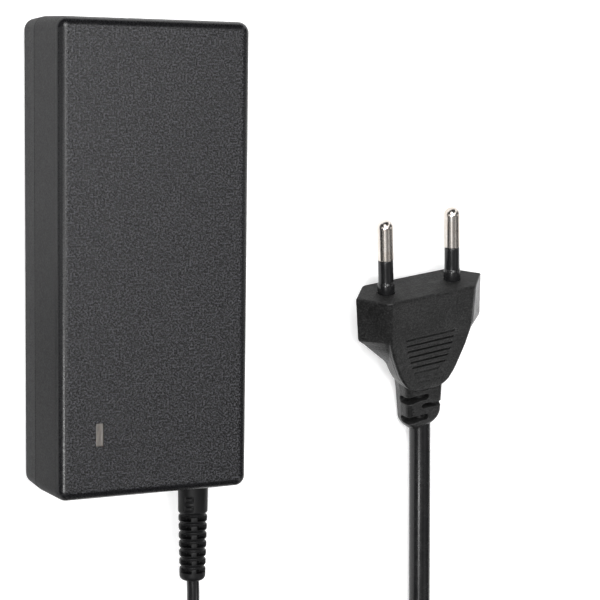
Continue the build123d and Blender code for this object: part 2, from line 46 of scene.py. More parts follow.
# ------------------------------------------------------------------ camera
def make_camera():
    az, el, roll = math.radians(26.322), math.radians(6.404), math.radians(0.778)
    zc = Vector((-math.sin(az) * math.cos(el), math.sin(el), math.cos(az) * math.cos(el))).normalized()
    xc = Vector((0, 1, 0)).cross(zc).normalized()
    yc = zc.cross(xc)
    x = math.cos(roll) * xc + math.sin(roll) * yc
    y = -math.sin(roll) * xc + math.cos(roll) * yc
    cam = bpy.data.cameras.new("camera")
    cam.sensor_width = 36.0
    cam.lens = 36.0 * 1762.418 / 600.0
    cam.clip_start, cam.clip_end = 0.01, 20.0
    ob = bpy.data.objects.new("camera", cam)
    bpy.context.scene.collection.objects.link(ob)
    m = Matrix((x, y, zc)).transposed().to_4x4()
    m.translation = Vector((-143.884, 35.252, 387.712)) * MM
    ob.matrix_world = m
    bpy.context.scene.camera = ob


make_camera()


# ------------------------------------------------------------------ cords
def cord_curve(name, points, diameter):
    """One open NURBS spline through the route's control points, with a round section."""
    cu = bpy.data.curves.new(name, "CURVE")
    cu.dimensions = "3D"
    sp = cu.splines.new("NURBS")
    sp.points.add(len(points) - 1)
    for p, q in zip(sp.points, points):
        p.co = (q[0] * MM, q[1] * MM, q[2] * MM, 1.0)
        p.radius = diameter * MM / 2
    sp.order_u = 3
    sp.use_endpoint_u = True
    sp.resolution_u = 8
    cu.bevel_depth = 1.0
    cu.bevel_resolution = 7
    cu.use_fill_caps = True
    sp.use_smooth = True
    ob = bpy.data.objects.new(name, cu)
    bpy.context.scene.collection.objects.link(ob)
    return ob


def coil_turns(cx, cy, n, r_start, pitch, turns, flat, d, last_angle, r_end, strap_angle, strap_half, strap_t):
    """Control points of a two-layer coil, clockwise seen from above: inwards on the surface, up, and outwards on top."""
    k = 1.0 / ((3.0 + math.cos(2 * math.pi / n)) / 4.0)
    step = 360.0 / n
    rows = []
    a = -step * 0.75
    while -a / 360.0 < turns:
        rows.append((a, r_start - pitch * max(-a / 360.0 - flat, 0.0), 0.0))
        a -= step
    r_in = rows[-1][1]
    for f in (0.12, 0.38, 0.66, 0.9):
        rows.append((a, r_in + 0.4 * f, f))
        a -= step
    t2, end = -a / 360.0, last_angle
    while a > end + step * 0.5:
        t, span = -a / 360.0 - t2, -end / 360.0 - t2
        rows.append((a, r_in + 0.4 + (r_end - r_in - 0.4) * min(1.0, t / (span - 0.12)), 1.0))
        a -= step
    points = []
    for a, r, f in rows:
        off = abs((a - strap_angle + 180.0) % 360.0 - 180.0)
        lift = strap_t * max(0.0, min(1.0, (strap_half + step * 1.5 - off) / step))
        wob = 0.10 * math.sin(math.radians(a * 0.37 + 40.0 * f)) + 0.06 * math.sin(math.radians(a * 1.31))
        c, s = math.cos(math.radians(a)), math.sin(math.radians(a))
        points.append((cx + (k * r + wob) * c, cy + (k * r + wob) * s, d / 2 + 0.02 + f * (d + 0.02) + lift))
    return points


DC_D, MAINS_D = 3.0, 5.5
mains_points = [(80.80, -45.35, 3.45), (81.40, -54.0, 2.81), (81.75, -70.0, 2.76), (82.20, -92.0, 2.76), (82.68, -115.0, 2.765), (82.74, -136.0, 2.77)]
mains_points += coil_turns(44.2, -140.0, 16, 38.5, 5.58, 2.62, 0.15, MAINS_D, -90.0 - 360.0 * 5, 36.8, -42.0, 12.0, 1.0)
mains_points += [(43.50, -176.9, 8.27), (32.00, -179.2, 8.10), (20.50, -181.0, 6.40), (7.50, -181.4, 5.20)]
mains_cord = cord_curve("mains_lead_cord", mains_points, MAINS_D)

dc_points = [(15.55, -77.5, 9.90), (16.05, -85.1, 9.70), (15.90, -91.1, 7.00), (14.35, -97.1, 3.35), (11.60, -103.0, 1.52), (8.20, -109.0, 1.50)]
dc_points += coil_turns(-18.4, -111.5, 14, 24.8, 3.06, 4.4, 0.1, DC_D, -180.0 - 360.0 * 9, 24.6, -100.0, 16.0, 0.9)
dc_points += [(-43.00, -111.5, 4.50), (-44.00, -101.0, 3.00), (-44.60, -90.0, 2.60), (-44.80, -78.5, 6.00), (-44.80, -53.0, 6.00), (-44.50, -41.2, 4.90)]
dc_cord = cord_curve("dc_output_cord", dc_points, DC_D)

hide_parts("mains_cord", "mains_cord_coil", "mains_cord_end")
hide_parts("dc_cord", "dc_cord_coil", "dc_cord_end")
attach(mains_cord, "mains_lead")
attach(dc_cord, "adapter")


# ------------------------------------------------------------------ meshes from implicit surfaces
def surface_net(f, lo, hi, step):
    """Closed quad mesh of f = 0 (f < 0 inside) on a grid, with its points moved onto the surface."""
    ax = [np.arange(a, b + step, step) for a, b in zip(lo, hi)]
    n = [len(a) for a in ax]
    gx, gy, gz = np.meshgrid(*ax, indexing="ij")
    v = f(gx.ravel(), gy.ravel(), gz.ravel()).reshape(n).astype(np.float64)
    v[v == 0] = 1e-9
    neg = v < 0
    cells = (n[0] - 1, n[1] - 1, n[2] - 1)
    acc = np.zeros(cells + (3,))
    cnt = np.zeros(cells)
    for axis in range(3):
        o = [a for a in range(3) if a != axis]
        for i in (0, 1):
            for j in (0, 1):
                s0 = [slice(0, c) for c in cells]
                s0[o[0]] = slice(i, i + cells[o[0]])
                s0[o[1]] = slice(j, j + cells[o[1]])
                s1 = list(s0)
                s1[axis] = slice(1, 1 + cells[axis])
                a, b = v[tuple(s0)], v[tuple(s1)]
                hit = (a < 0) != (b < 0)
                t = np.where(hit, a / np.where(hit, a - b, 1.0), 0.0)
                acc[..., axis] += np.where(hit, t, 0.0)
                acc[..., o[0]] += np.where(hit, i, 0.0)
                acc[..., o[1]] += np.where(hit, j, 0.0)
                cnt += hit
    idx = -np.ones(cells, dtype=np.int64)
    used = np.argwhere(cnt > 0)
    idx[tuple(used.T)] = np.arange(len(used))
    p = acc[tuple(used.T)] / cnt[tuple(used.T)][:, None] + used
    p = p * step + np.array(lo)
    quads = []
    for axis in range(3):
        o = [a for a in range(3) if a != axis]
        s0 = [slice(1, n[a] - 1) for a in range(3)]
        s0[axis] = slice(0, n[axis] - 1)
        s1 = list(s0)
        s1[axis] = slice(1, n[axis])
        a, b = neg[tuple(s0)], neg[tuple(s1)]
        for flip in (False, True):
            e = np.argwhere((b & ~a) if flip else (a & ~b))
            if not len(e):
                continue
            e = e + np.array([1 if k != axis else 0 for k in range(3)])
            c = []
            for i, j in ((0, 0), (1, 0), (1, 1), (0, 1)):
                q = e.copy()
                q[:, o[0]] -= i
                q[:, o[1]] -= j
                c.append(idx[tuple(q.T)])
            q = np.stack(c, 1)
            if flip != (axis == 1):
                q = q[:, ::-1]
            quads.append(q)
    quads = np.concatenate(quads)
    eps = step * 0.08
    for _ in range(3):
        x, y, z = p.T
        f0 = f(x, y, z)
        g = np.stack([(f(x + eps, y, z) - f(x - eps, y, z)), (f(x, y + eps, z) - f(x, y - eps, z)), (f(x, y, z + eps) - f(x, y, z - eps))], 1) / (2 * eps)
        g2 = np.maximum((g * g).sum(1), 0.05)
        d = -(f0 / g2)[:, None] * g
        m = np.linalg.norm(d, axis=1)
        d *= np.minimum(1.0, 0.35 * step / np.maximum(m, 1e-9))[:, None]
        p = p + d
    return p, quads


def mesh_piece(name, points, faces, smooth=True):
    me = bpy.data.meshes.new(name)
    me.from_pydata([tuple(q) for q in (np.asarray(points) * MM)], [], [tuple(int(i) for i in q) for q in faces])
    me.validate()
    me.update()
    if smooth:
        me.polygons.foreach_set("use_smooth", [True] * len(me.polygons))
    ob = bpy.data.objects.new(name, me)
    bpy.context.scene.collection.objects.link(ob)
    return ob


def smax(a, b, k):
    """Greater of two, rounded over k."""
    h = np.clip(0.5 + 0.5 * (a - b) / k, 0.0, 1.0)
    return b + (a - b) * h + k * h * (1.0 - h)


def smin(a, b, k):
    return -smax(-a, -b, k)


def ssub(a, b, k):
    return smax(a, -b, k)


# ------------------------------------------------------------------ mains plug body
# Local frame: u across the pins, h along them (pins towards +h, pin face at h = 0), t out of the front plate.
TAN = math.tan(math.radians(5.5))
COS = math.cos(math.radians(5.5))
REL_U = -0.45


def plug_body(u, h, t):
    hc = np.clip(h, -40.0, 0.5)
    a = np.interp(hc, [-37, -34, -26.5, -24, -21.3, -17.4, -14.0, -12.2, -10.9, -10.2, 0], [5.0, 5.15, 5.6, 6.1, 7.35, 10.5, 14.1, 15.9, 17.45, 17.7, 18.0])
    b = np.interp(hc, [-37, -34, -26.5, -24, -21.3, -17.4, -14.0, -12.2, -10.9, -10.2, 0], [4.7, 4.85, 5.25, 5.6, 6.5, 8.8, 10.8, 11.4, 11.8, 11.95, 12.4])
    th = np.interp(hc, [-37, -34, -26.5, -24, -21.3, -17.4, -14.0, -12.2, -10.9, -10.2, 0], [3.05, 3.15, 3.45, 3.55, 3.75, 4.2, 4.75, 5.15, 5.6, 5.75, 6.72])
    su = np.interp(hc, [-40, -26, -14, -10], [REL_U, REL_U, 0.0, 0.0])
    back = np.interp(hc, [-40, -26.5, -20, -10.5, 0], [3.55, 3.75, 3.95, 5.75, 6.8])
    uu = np.abs(u - su)
    half = np.where(t > 0, th, back)
    slope = (a - b) / half
    side = (uu - a + slope * np.abs(t)) / np.sqrt(1 + slope * slope)
    front = (t - th) * COS
    rear = (-t - back) * COS
    k = np.interp(hc, [-40, -26, -18, -11, -10, 0], [1.7, 1.7, 1.6, 1.0, 0.75, 0.75])
    body = smax(side, smax(front, rear, k), k)
    face = h - 0.35 + 0.055 * t
    body = smax(body, face, 0.5)
    # rounded lower end of the relief
    dome = 37.45 + h - 0.16 * (u - REL_U) - 1.5 * (np.abs(u - REL_U) / 5.0) ** 2
    body = smax(body, -dome, 2.6)
    # raised plate with a soft rim
    w = np.interp(hc, [-26.6, -26.2, -25.4, -24.2, -22.6, -20.9, -19.0, -15.5, -11.5, -6, 0], [0.2, 2.9, 4.9, 6.3, 7.45, 8.35, 9.15, 10.55, 11.75, 12.05, 12.15])
    pu = np.abs(u - np.interp(hc, [-40, -20, -10], [-0.45, -0.35, 0.0]))
    rim = (pu - w) * 0.93
    low = -(h + 26.45)
    top = (t - 6.85 - h * TAN) * COS
    top = top + np.clip((-24.6 - h) / 2.0, 0.0, 1.0) ** 1.5 * 0.75 + np.clip(h + 0.9, 0.0, 1.0) ** 2 * 0.12
    plate = smax(smax(rim, low, 0.5), top, 0.75)
    plate = np.maximum(plate, -t - 0.5)
    plate = smax(plate, face, 0.5)
    d = smin(body, plate, 0.12)
    # thin groove where the plate meets the flank
    near = np.abs(smax(rim, low, 0.5) - 0.06)
    seam = np.maximum(near - 0.13, -(t - (th - 0.35)))
    d = ssub(d, np.maximum(seam, h + 10.9), 0.1)
    # grip grooves
    for i in range(7):
        half_len = (6.7, 6.5, 6.25, 5.7, 5.2, 4.6, 3.3)[i]
        hc_i = -11.1 - 1.58 * i
        uc = (-0.3, -0.3, -0.25, -0.3, -0.3, -0.3, -0.9)[i]
        deep = (0.5, 0.8, 0.85, 0.85, 0.8, 0.7, 0.35)[i]
        q = np.maximum(np.abs(u - uc) - half_len, 0.0)
        g = np.sqrt(q * q + (h - hc_i - 0.012 * (u - uc)) ** 2) - 0.29
        d = ssub(d, np.maximum(g, -(top + deep)), 0.05)
    for hc_i, half_len, deep in ((-22.1, 3.4, 0.08), (-23.25, 3.9, 0.06)):
        q = np.maximum(np.abs(u + 0.2) - half_len, 0.0)
        g = np.sqrt(q * q + (h - hc_i) ** 2) - 0.3
        d = ssub(d, np.maximum(g, -(top + deep)), 0.08)
    # windows of the strain relief, round the corners of its section
    for turn in (1.0, -1.0):
        uw, tw = (u - REL_U) * turn, t * turn
        tf = np.where(turn > 0, th, back)
        core = np.sqrt(uw * uw + tw * tw) - 1.5
        for hc_i, height, sgn, end in ((-28.45, 1.65, -1.0, 1.0), (-30.85, 1.3, 1.0, 1.05), (-34.0, 1.65, -1.0, 0.9)):
            x = uw * sgn
            on_face = (tf - tw) < (a - x)
            s = np.where(on_face, x, a + (tf - tw) * 0.9)
            s0, s1 = -end, a + (3.1 if sgn < 0 else 1.7 if turn > 0 else -0.4)
            q = np.maximum(np.maximum(s0 + height / 2 - s, s - (s1 - height / 2)), 0.0)
            sag = h - hc_i + 0.35 * np.clip((x - 1.5) / 3.0, 0.0, 1.0)
            cap = np.sqrt(q * q + sag ** 2) - height / 2 - 0.18 * np.clip((x - 1.0) / 3.0, 0.0, 1.0) * (sgn < 0)
            d = ssub(d, np.maximum(np.maximum(cap, -core), -tw - 2.2), 0.1)
    # holes for the pins and their sleeves
    for s in (-1, 1):
        r = np.sqrt((u - s * 9.5) ** 2 + t * t)
        d = np.maximum(d, -np.maximum(r - 2.14, -(h + 3.05)))
        d = np.maximum(d, -np.maximum(r - 1.26, -(h + 6.1)))
    # the cord's seat
    r = np.sqrt((u - 0.0) ** 2 + t * t)
    d = np.maximum(d, -np.maximum(r - 2.72, h + 36.55))
    return d


def place_plug(p):
    y, b = math.radians(8.48), math.radians(11.0)
    m = Matrix.Rotation(y, 3, "Z") @ Matrix.Rotation(b, 3, "X")
    return p @ np.array(m).T + np.array([75.79, -9.92, 10.43])


pts, quads = surface_net(plug_body, (-18.9, -38.4, -7.7), (18.9, 1.5, 7.7), 0.16)
plug = mesh_piece("plug_body_moulding", place_plug(pts), quads)
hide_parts("mains_plug_body")
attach(plug, "mains_lead")


# ------------------------------------------------------------------ insulating sleeves of the pins
def turned(profile, n):
    """Closed ring of n sides turned about the h axis from a closed profile of (radius, h)."""
    v, f = [], []
    m = len(profile)
    for i in range(n):
        a = 2 * math.pi * i / n
        for r, h in profile:
            v.append((r * math.cos(a), h, r * math.sin(a)))
    for i in range(n):
        for j in range(m):
            a, b = i * m + j, i * m + (j + 1) % m
            c, d = ((i + 1) % n) * m + (j + 1) % m, ((i + 1) % n) * m + j
            f.append((a, b, c, d))
    return v, f


profile = [(1.215, -2.9), (2.02, -2.9), (2.1, -2.8), (2.12, 1.6), (2.1, 2.4), (2.06, 2.75), (1.98, 2.95), (1.93, 3.05), (1.90, 3.3), (1.885, 5.0), (1.88, 8.45), (1.86, 8.7), (1.8, 8.84), (1.7, 8.89), (1.3, 8.895), (1.215, 8.87)]
sv, sf = turned(profile, 56)
sleeve_pts, sleeve_faces = [], []
for s in (-9.5, 9.5):
    o = len(sleeve_pts)
    sleeve_pts += [(x + s, h, t) for x, h, t in sv]
    sleeve_faces += [tuple(i + o for i in q) for q in sf]
sleeves = mesh_piece("pin_sleeve_pair", place_plug(np.array(sleeve_pts)), sleeve_faces)
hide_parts("mains_pin_sleeves")
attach(sleeves, "mains_lead")


# ------------------------------------------------------------------ DC strain relief
DC_X, DC_Z = 15.45, 9.9
SLEEVE_END, RELIEF_END, RIBS = -61.65, -77.9, 7
RIB_PITCH = (SLEEVE_END - RELIEF_END - 1.5) / RIBS


def dc_relief(x, y, z):
    r = np.sqrt(x * x + z * z)
    ang = np.degrees(np.arctan2(x, z)) + 16.0
    base = np.interp(y, [-77.9, -61.7, -61.5, -53.0], [3.05, 3.45, 3.5, 3.6])
    rr = base.copy()
    for i in range(RIBS + 1):
        yi = SLEEVE_END - 0.15 - i * RIB_PITCH
        if i == RIBS:
            break
        rr = rr - 0.46 * np.exp(-((y - yi) / 0.36) ** 2) - 0.05 * np.cos(np.clip((y - yi + RIB_PITCH / 2) / RIB_PITCH, -0.5, 0.5) * 2 * np.pi) * 0.0
    d = (r - rr) * 0.88
    d = smax(d, -(y - RELIEF_END), 1.3)
    d = smax(d, y + 53.62, 0.15)
    for i in range(RIBS):
        yc = SLEEVE_END - RIB_PITCH * (i + 0.5) - 0.02
        for a0 in (39.0, 141.0, 219.0, 321.0):
            da = np.abs((ang - a0 + 180.0) % 360.0 - 180.0)
            s = np.radians(da) * rr
            half = math.radians(27.0) * 3.2
            cap = np.maximum(s - half, np.abs(y - yc) - 0.5)
            d = ssub(d, np.maximum(cap, -(r - 1.65)), 0.1)
    # two small bare pads on the sleeve
    aa = np.radians((ang - 16.0 + 38.0 + 180.0) % 360.0 - 180.0) * 3.5
    for yc in (-57.95, -60.15):
        pad = np.maximum(np.abs(aa) - 0.95, np.abs(y - yc) - 0.62)
        ring = np.abs(pad + 0.05) - 0.13
        d = ssub(d, np.maximum(ring, -(r - (rr - 0.16))), 0.08)
        d = smin(d, smax(pad + 0.25, r - (rr + 0.09), 0.2), 0.12)
    neck = np.maximum(r - 3.08, np.maximum(y + 50.7, -(y + 53.95)))
    flange = np.maximum(r - 4.75, np.maximum(y + 48.65, -(y + 50.75)))
    d = np.minimum(d, np.minimum(neck, flange))
    d = np.maximum(d, -np.maximum(r - 1.49, y + 77.0))
    return d


pts, quads = surface_net(dc_relief, (-5.2, -78.4, -5.2), (5.2, -48.2, 5.2), 0.13)
relief = mesh_piece("dc_relief_moulding", pts + np.array([DC_X, 0.0, DC_Z]), quads)
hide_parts("dc_strain_relief")
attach(relief, "adapter")


# ------------------------------------------------------------------ light pipe
def block(x, y, z, c, b, r):
    """Distance to a box of centre c and half sizes b with edges rounded to r."""
    qx, qy, qz = np.abs(x - c[0]) - b[0] + r, np.abs(y - c[1]) - b[1] + r, np.abs(z - c[2]) - b[2] + r
    out = np.sqrt(np.maximum(qx, 0) ** 2 + np.maximum(qy, 0) ** 2 + np.maximum(qz, 0) ** 2)
    return out + np.minimum(np.maximum(qx, np.maximum(qy, qz)), 0.0) - r


def pipe_shape(x, y, z):
    head = block(x, y, z, (0, 0, 23.27), (0.9, 2.6, 1.43), 0.22)
    dish = np.sqrt((x / 0.62) ** 2 + (y / 2.2) ** 2 + ((z - 24.78) / 0.2) ** 2) - 1.0
    d = ssub(head, dish * 0.2, 0.12)
    d = smin(d, block(x, y, z, (0, 0, 22.0), (2.1, 3.8, 0.7), 0.15), 0.15)
    return smin(d, block(x, y, z, (0, 0, 16.0), (0.9, 1.9, 5.6), 0.2), 0.2)


pts, quads = surface_net(pipe_shape, (-2.5, -4.2, 10.0), (2.5, 4.2, 25.1), 0.11)
pipe = mesh_piece("light_pipe_lens", pts + np.array([-13.15, -38.4, 0.0]), quads)
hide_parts("light_pipe")
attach(pipe, "adapter")


# ------------------------------------------------------------------ hook-and-loop straps on the coils
def strap(name, cx, cy, r0, r1, height, width, t, angle, node, body):
    """A woven strap once round the coil's section, its end laid over itself on top."""
    inner, outer = r0 - t, r1 + t
    c = 2.0
    path = []

    def arc(px, pz, a0, a1, r, n):
        for k in range(n + 1):
            a = math.radians(a0 + (a1 - a0) * k / n)
            path.append((px + r * math.cos(a), pz + r * math.sin(a)))

    # starts on top near the inside, runs outwards, down, under and back up to the top, then over its own start
    top, bot = height + 1.5 * t, 0.5 * t
    path.append((inner + 6.5, top))
    path.append((inner + 9.5, top))
    arc(outer - c, top - c, 90, 0, c - t / 2, 7)
    arc(outer - c, bot + c, 0, -90, c - t / 2, 7)
    arc(inner + c, bot + c, -90, -180, c - t / 2, 7)
    arc(inner + c, top - c, 180, 100, c - t / 2, 7)
    path.append((inner + 4.0, top + 0.35 * t))
    path.append((inner + 6.5, top + 0.9 * t))
    path.append((inner + 9.0, top + 1.12 * t))
    path.append((outer - 9.0, top + 1.12 * t))
    path.append((outer - 4.0, top + 1.2 * t))
    path.append((outer - 2.4, top + 1.5 * t))
    fine = []
    for (a0, b0), (a1, b1) in zip(path, path[1:]):
        n = max(1, int(math.hypot(a1 - a0, b1 - b0) / 0.6))
        for k in range(n):
            fine.append((a0 + (a1 - a0) * k / n, b0 + (b1 - b0) * k / n))
    fine.append(path[-1])
    rows = 15
    n = len(fine)
    verts, faces = [], []
    ca, sa = math.cos(math.radians(angle)), math.sin(math.radians(angle))
    for side in (-1, 1):
        for i, (r, z) in enumerate(fine):
            j0, j1 = max(i - 1, 0), min(i + 1, n - 1)
            dx, dz = fine[j1][0] - fine[j0][0], fine[j1][1] - fine[j0][1]
            ln = math.hypot(dx, dz) or 1.0
            nx, nz = -dz / ln, dx / ln
            left = (n - 1 - i) * 0.6
            for j in range(rows):
                q = -1 + 2 * j / (rows - 1)
                hw = width / 2 + 0.07 * math.sin(i * 0.9) + 0.05 * math.sin(i * 2.3 + 1.0)
                if left < 2.6:
                    hw *= math.sqrt(max(0.0, 1 - ((2.6 - left) / 2.75) ** 2)) * 0.35 + 0.65
                edge = t / 2 * (1 - 0.55 * abs(q) ** 8)
                zz = z + nz * edge * side
                rr = r + nx * edge * side
                w = q * hw
                verts.append((cx + rr * ca - w * sa, cy + rr * sa + w * ca, zz))
    off = n * rows
    for i in range(n - 1):
        for j in range(rows - 1):
            a = i * rows + j
            faces.append((a, a + 1, a + rows + 1, a + rows))
            faces.append((off + a, off + a + rows, off + a + rows + 1, off + a + 1))
    for i in range(n - 1):
        for j in (0, rows - 1):
            a = i * rows + j
            q = (a, a + rows, off + a + rows, off + a)
            faces.append(q if j == 0 else q[::-1])
    for i in (0, n - 1):
        for j in range(rows - 1):
            a = i * rows + j
            q = (a, off + a, off + a + 1, a + 1)
            faces.append(q if i == 0 else q[::-1])
    ob = mesh_piece(name, np.array(verts), faces)
    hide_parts(node)
    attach(ob, body)
    return ob


mains_strap = strap("mains_coil_strap", 44.2, -140.0, 19.9, 41.2, 11.05, 12.0, 1.0, -42.0, "mains_cord_strap", "mains_lead")
dc_strap = strap("dc_coil_strap", -18.4, -111.5, 8.9, 26.3, 6.05, 8.0, 0.9, -100.0, "dc_cord_strap", "adapter")


# ------------------------------------------------------------------ materials
def nodes_of(name):
    m = bpy.data.materials.new(name)
    m.use_nodes = True
    nt = m.node_tree
    for n in list(nt.nodes):
        nt.nodes.remove(n)
    out = nt.nodes.new("ShaderNodeOutputMaterial")
    bsdf = nt.nodes.new("ShaderNodeBsdfPrincipled")
    nt.links.new(bsdf.outputs["BSDF"], out.inputs["Surface"])
    coord = nt.nodes.new("ShaderNodeTexCoord")
    return m, nt, bsdf, coord


def noise(nt, coord, scale, detail=2.0, rough=0.5, stretch=None):
    n = nt.nodes.new("ShaderNodeTexNoise")
    n.inputs["Scale"].default_value = scale
    n.inputs["Detail"].default_value = detail
    n.inputs["Roughness"].default_value = rough
    if stretch:
        mp = nt.nodes.new("ShaderNodeMapping")
        mp.inputs["Scale"].default_value = stretch
        nt.links.new(coord.outputs["Object"], mp.inputs["Vector"])
        nt.links.new(mp.outputs["Vector"], n.inputs["Vector"])
    else:
        nt.links.new(coord.outputs["Object"], n.inputs["Vector"])
    return n.outputs["Fac"]


def ramp(nt, fac, stops):
    r = nt.nodes.new("ShaderNodeValToRGB")
    els = r.color_ramp.elements
    while len(els) < len(stops):
        els.new(0.5)
    for e, (pos, col) in zip(els, stops):
        e.position = pos
        e.color = (*col, 1.0)
    nt.links.new(fac, r.inputs["Fac"])
    return r.outputs["Color"]


def spread(nt, fac, lo, hi, flo=0.3, fhi=0.7):
    r = nt.nodes.new("ShaderNodeMapRange")
    r.inputs["From Min"].default_value = flo
    r.inputs["From Max"].default_value = fhi
    r.inputs["To Min"].default_value = lo
    r.inputs["To Max"].default_value = hi
    nt.links.new(fac, r.inputs["Value"])
    return r.outputs["Result"]


def maths(nt, op, a, b):
    n = nt.nodes.new("ShaderNodeMath")
    n.operation = op
    for s, v in ((n.inputs[0], a), (n.inputs[1], b)):
        if isinstance(v, (int, float)):
            s.default_value = v
        else:
            nt.links.new(v, s)
    return n.outputs["Value"]


def bump(nt, height, distance, strength=1.0, normal=None):
    b = nt.nodes.new("ShaderNodeBump")
    b.inputs["Distance"].default_value = distance
    if isinstance(strength, (int, float)):
        b.inputs["Strength"].default_value = strength
    else:
        nt.links.new(strength, b.inputs["Strength"])
    nt.links.new(height, b.inputs["Height"])
    if normal is not None:
        nt.links.new(normal, b.inputs["Normal"])
    return b.outputs["Normal"]


def scale_rgb(c, k):
    return tuple(min(1.0, x * k) for x in c)


def moulded(name, base, rough=0.5, spec=0.5, grain=0.5, depth=0.03, fine=0.12, fine_depth=0.008, mottle=0.12, rough_var=0.06):
    """Moulded plastic: a coarse and a fine grain (mm), slow tone mottling, uneven gloss."""
    m, nt, b, co = nodes_of(name)
    slow = noise(nt, co, 1.0 / 0.009, 3.0, 0.6)
    col = ramp(nt, slow, [(0.3, scale_rgb(base, 1 - mottle)), (0.7, scale_rgb(base, 1 + mottle))])
    nt.links.new(col, b.inputs["Base Color"])
    mid = noise(nt, co, 1.0 / 0.0021, 3.0, 0.55)
    nt.links.new(spread(nt, mid, rough - rough_var, rough + rough_var), b.inputs["Roughness"])
    b.inputs["Specular IOR Level"].default_value = spec
    coarse = noise(nt, co, 1.0 / (grain * MM), 2.0, 0.55)
    n1 = bump(nt, coarse, depth * MM)
    small = noise(nt, co, 1.0 / (fine * MM), 1.0, 0.5)
    n2 = bump(nt, small, fine_depth * MM, 1.0, n1)
    nt.links.new(n2, b.inputs["Normal"])
    return m


def metal(name, base, rough=0.15, streak=0.1, along=(1, 1, 1), mottle=0.05, tarnish=None, relief=0.0025):
    """Plated or drawn metal with faint streaks along one axis."""
    m, nt, b, co = nodes_of(name)
    b.inputs["Metallic"].default_value = 1.0
    slow = noise(nt, co, 1.0 / 0.003, 3.0, 0.6)
    col = ramp(nt, slow, [(0.3, scale_rgb(tarnish or base, 1 - mottle)), (0.7, scale_rgb(base, 1 + mottle))])
    nt.links.new(col, b.inputs["Base Color"])
    st = noise(nt, co, 1.0 / 0.0004, 3.0, 0.6, along)
    nt.links.new(spread(nt, st, rough, rough + streak), b.inputs["Roughness"])
    nt.links.new(bump(nt, st, relief * MM), b.inputs["Normal"])
    return m


def case_plastic():
    """Black ABS: coarse spark-eroded grain on the front and back, a finer one with faint draw lines on the walls."""
    m, nt, b, co = nodes_of("case_plastic")
    geo = nt.nodes.new("ShaderNodeNewGeometry")
    sep = nt.nodes.new("ShaderNodeSeparateXYZ")
    nt.links.new(geo.outputs["Normal"], sep.inputs["Vector"])
    up = nt.nodes.new("ShaderNodeMath")
    up.operation = "ABSOLUTE"
    nt.links.new(sep.outputs["Z"], up.inputs[0])
    face = spread(nt, up.outputs["Value"], 0.0, 1.0, 0.97, 0.998)
    wall = spread(nt, up.outputs["Value"], 1.0, 0.0, 0.1, 0.45)
    slow = noise(nt, co, 1.0 / 0.014, 3.0, 0.6)
    coarse = noise(nt, co, 1.0 / 0.0004, 2.0, 0.6)
    pits = ramp(nt, coarse, [(0.37, scale_rgb(CASE_BASE, 0.05)), (0.5, scale_rgb(CASE_BASE, 0.75)), (0.62, scale_rgb(CASE_BASE, 9.0))])
    plain = ramp(nt, slow, [(0.3, scale_rgb(CASE_BASE, 0.9)), (0.7, scale_rgb(CASE_BASE, 1.1))])
    mix = nt.nodes.new("ShaderNodeMix")
    mix.data_type = "RGBA"
    nt.links.new(face, mix.inputs["Factor"])
    nt.links.new(plain, mix.inputs[6])
    nt.links.new(pits, mix.inputs[7])
    nt.links.new(mix.outputs[2], b.inputs["Base Color"])
    mid = noise(nt, co, 1.0 / 0.0016, 3.0, 0.6)
    gloss = maths(nt, "ADD", spread(nt, mid, 0.0, 0.05), spread(nt, coarse, 0.18, 0.32))
    nt.links.new(maths(nt, "ADD", gloss, spread(nt, wall, 0.0, 0.46, 0.0, 1.0)), b.inputs["Roughness"])
    b.inputs["Specular IOR Level"].default_value = 0.3
    n1 = bump(nt, coarse, 0.19 * MM, spread(nt, face, 0.05, 1.0, 0.0, 1.0))
    fine = noise(nt, co, 1.0 / 0.0003, 2.0, 0.5)
    n2 = bump(nt, fine, 0.03 * MM, spread(nt, face, 0.3, 1.0, 0.0, 1.0), n1)
    draw = noise(nt, co, 1.0 / 0.0009, 2.0, 0.5, (1.0, 1.0, 0.06))
    n3 = bump(nt, draw, 0.010 * MM, spread(nt, face, 1.0, 0.0, 0.0, 1.0), n2)
    nt.links.new(n3, b.inputs["Normal"])
    return m


def plug_plastic():
    """Satin moulded PVC: eroded grain with pits, duller on the pin face, convex edges coloured brighter as a painted
    highlight.
    """
    m, nt, b, co = nodes_of("plug_moulding")
    geo = nt.nodes.new("ShaderNodeNewGeometry")
    slow = noise(nt, co, 1.0 / 0.006, 3.0, 0.6)
    coarse = noise(nt, co, 1.0 / 0.00042, 2.0, 0.6)
    tone = maths(nt, "ADD", maths(nt, "MULTIPLY", coarse, 0.75), maths(nt, "MULTIPLY", slow, 0.25))
    pits = ramp(nt, tone, [(0.38, scale_rgb(PLUG_BASE, 0.3)), (0.5, PLUG_BASE), (0.62, scale_rgb(PLUG_BASE, 2.6))])
    mix = nt.nodes.new("ShaderNodeMix")
    mix.data_type = "RGBA"
    # painted highlight: convex edges (high pointiness) get a lighter base colour, 0.028 against about 0.008
    nt.links.new(spread(nt, geo.outputs["Pointiness"], 0.0, 1.0, 0.515, 0.57), mix.inputs["Factor"])
    nt.links.new(pits, mix.inputs[6])
    mix.inputs[7].default_value = (0.028, 0.028, 0.028, 1.0)
    nt.links.new(mix.outputs[2], b.inputs["Base Color"])
    sep = nt.nodes.new("ShaderNodeSeparateXYZ")
    nt.links.new(geo.outputs["Normal"], sep.inputs["Vector"])
    dull = spread(nt, sep.outputs["Y"], 0.0, 0.34, 0.55, 0.9)
    mid = noise(nt, co, 1.0 / 0.0018, 3.0, 0.55)
    nt.links.new(maths(nt, "ADD", spread(nt, mid, 0.27, 0.37), dull), b.inputs["Roughness"])
    b.inputs["Specular IOR Level"].default_value = 0.23
    n1 = bump(nt, coarse, 0.1 * MM)
    fine = noise(nt, co, 1.0 / 0.00025, 2.0, 0.5)
    nt.links.new(bump(nt, fine, 0.01 * MM, 1.0, n1), b.inputs["Normal"])
    return m


